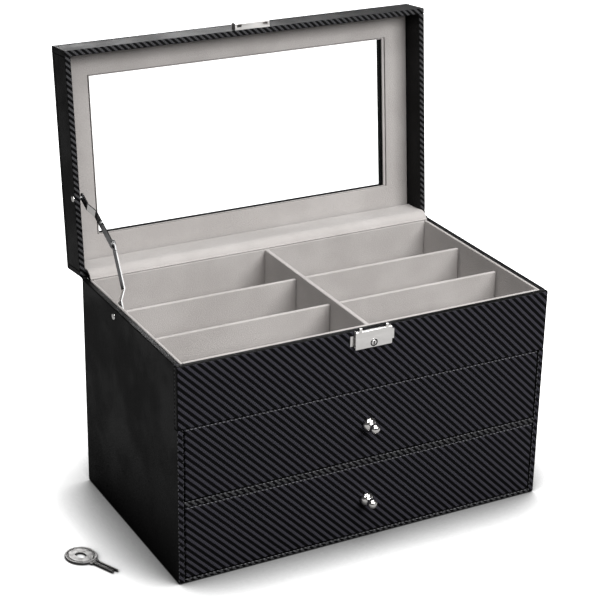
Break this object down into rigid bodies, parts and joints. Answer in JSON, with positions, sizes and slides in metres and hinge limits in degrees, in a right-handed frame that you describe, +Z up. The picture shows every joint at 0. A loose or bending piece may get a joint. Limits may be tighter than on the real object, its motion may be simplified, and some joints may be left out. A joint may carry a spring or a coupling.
{
  "type": "glasses organizer box",
  "caption": "Three-tier eyewear box: windowed hinged lid with a folding stay and sprung lock over a divided tray, two divided drawers with ball knobs, and a key.",
  "frame": {"origin": "on the floor under the centre of the case", "axes": "+Z up, -Y out of the drawer fronts, +X to the right as seen from the front"},
  "size_m": [0.4002, 0.2547, 0.3819],
  "materials": {
    "patterned_leather": "woven-look black imitation leather with diagonal ribs",
    "smooth_leather": "smooth black imitation leather, semi-matt",
    "velvet": "warm grey flocked velvet",
    "felt": "thin black felt",
    "board": "dark painted fibreboard",
    "pane": "clear flat pane",
    "chrome": "bright nickel plate",
    "steel": "plain bright steel"
  },
  "bodies": {
    "case": {"base_felt": "felt", "bottom_board": "smooth_leather", "left_side_panel": "smooth_leather", "right_side_panel": "smooth_leather", "back_panel": "smooth_leather", "top_front_panel": "patterned_leather", "drawer_shelf": "smooth_leather", "tray_floor_board": "board", "tray_lining_left": "velvet", "tray_lining_right": "velvet", "tray_lining_front": "velvet", "tray_lining_back": "velvet", "tray_floor_lining": "velvet", "tray_center_divider": "velvet", "tray_cross_dividers": "velvet", "hinge_liner": "velvet", "hinge_gap_strip": "smooth_leather", "hinge_case_leaves": "steel", "hinge_case_screws": "steel", "hinge_pins": "steel", "lock_base_plate": "chrome", "lock_pin": "steel", "lock_spring": "steel", "lock_screws": "steel", "stay_case_rivet": "chrome"},
    "lid": {"lid_front_wall": "smooth_leather", "lid_back_wall": "smooth_leather", "lid_left_wall": "smooth_leather", "lid_right_wall": "smooth_leather", "lid_top_frame": "smooth_leather", "lid_window_pane": "pane", "lid_lining_frame": "velvet", "lid_strike": "chrome", "lid_strike_rivets": "steel", "hinge_lid_leaves": "steel", "hinge_lid_screws": "steel", "stay_lid_rivet": "chrome"},
    "stay_lower": {"stay_lower_arm": "chrome", "stay_elbow_rivet": "chrome"},
    "stay_upper": {"stay_upper_arm": "chrome"},
    "lock_lever": {"lock_lever": "chrome"},
    "lock_cylinder": {"lock_cylinder": "chrome", "lock_cam": "steel"},
    "upper_drawer": {"upper_drawer_front": "patterned_leather", "upper_drawer_left_side": "velvet", "upper_drawer_right_side": "velvet", "upper_drawer_back": "velvet", "upper_drawer_floor": "velvet", "upper_drawer_center_divider": "velvet", "upper_drawer_cross_dividers": "velvet", "upper_drawer_knob": "chrome"},
    "lower_drawer": {"lower_drawer_front": "patterned_leather", "lower_drawer_left_side": "velvet", "lower_drawer_right_side": "velvet", "lower_drawer_back": "velvet", "lower_drawer_floor": "velvet", "lower_drawer_center_divider": "velvet", "lower_drawer_cross_dividers": "velvet", "lower_drawer_knob": "chrome"},
    "key": {"key": "chrome"}
  },
  "joints": [
    {"name": "lid_hinge", "type": "hinge", "parent": "case", "child": "lid", "pos_m": [0, 0.09615, 0.18707], "axis": [1, 0, 0], "range_deg": [0, 95.4], "deforming": ["hinge_liner", "hinge_gap_strip"]},
    {"name": "stay_lower_swing", "type": "hinge", "parent": "case", "child": "stay_lower", "pos_m": [-0.159, 0.0268, 0.1818], "axis": [1, 0, 0], "range_deg": [0, 106.2]},
    {"name": "stay_upper_swing", "type": "hinge", "parent": "lid", "child": "stay_upper", "pos_m": [-0.159, 0.10796, 0.25445], "axis": [1, 0, 0], "range_deg": [-123, 0]},
    {"name": "upper_drawer_slide", "type": "slide", "parent": "case", "child": "upper_drawer", "axis": [0, -1, 0], "range_m": [0, 0.15]},
    {"name": "lower_drawer_slide", "type": "slide", "parent": "case", "child": "lower_drawer", "axis": [0, -1, 0], "range_m": [0, 0.15]},
    {"name": "lock_lever_press", "type": "hinge", "parent": "case", "child": "lock_lever", "pos_m": [0, -0.0961, 0.1871], "axis": [1, 0, 0], "range_deg": [0, 6], "stiffness_Nm_per_rad": 0.2, "springref_deg": -5.73, "deforming": ["lock_spring"]},
    {"name": "lock_cylinder_turn", "type": "hinge", "parent": "lock_lever", "child": "lock_cylinder", "pos_m": [0, -0.0975, 0.1773], "axis": [0, 1, 0], "range_deg": [0, 90]},
    {"name": "key_lift", "type": "slide", "parent": "case", "child": "key", "axis": [0, 0, 1], "range_m": [0, 0.1]}
  ],
  "couplings": [
    {"joint": "stay_lower_swing", "follows": "lid_hinge", "ratio": 1.1112},
    {"joint": "stay_upper_swing", "follows": "lid_hinge", "ratio": -1.2863}
  ]
}
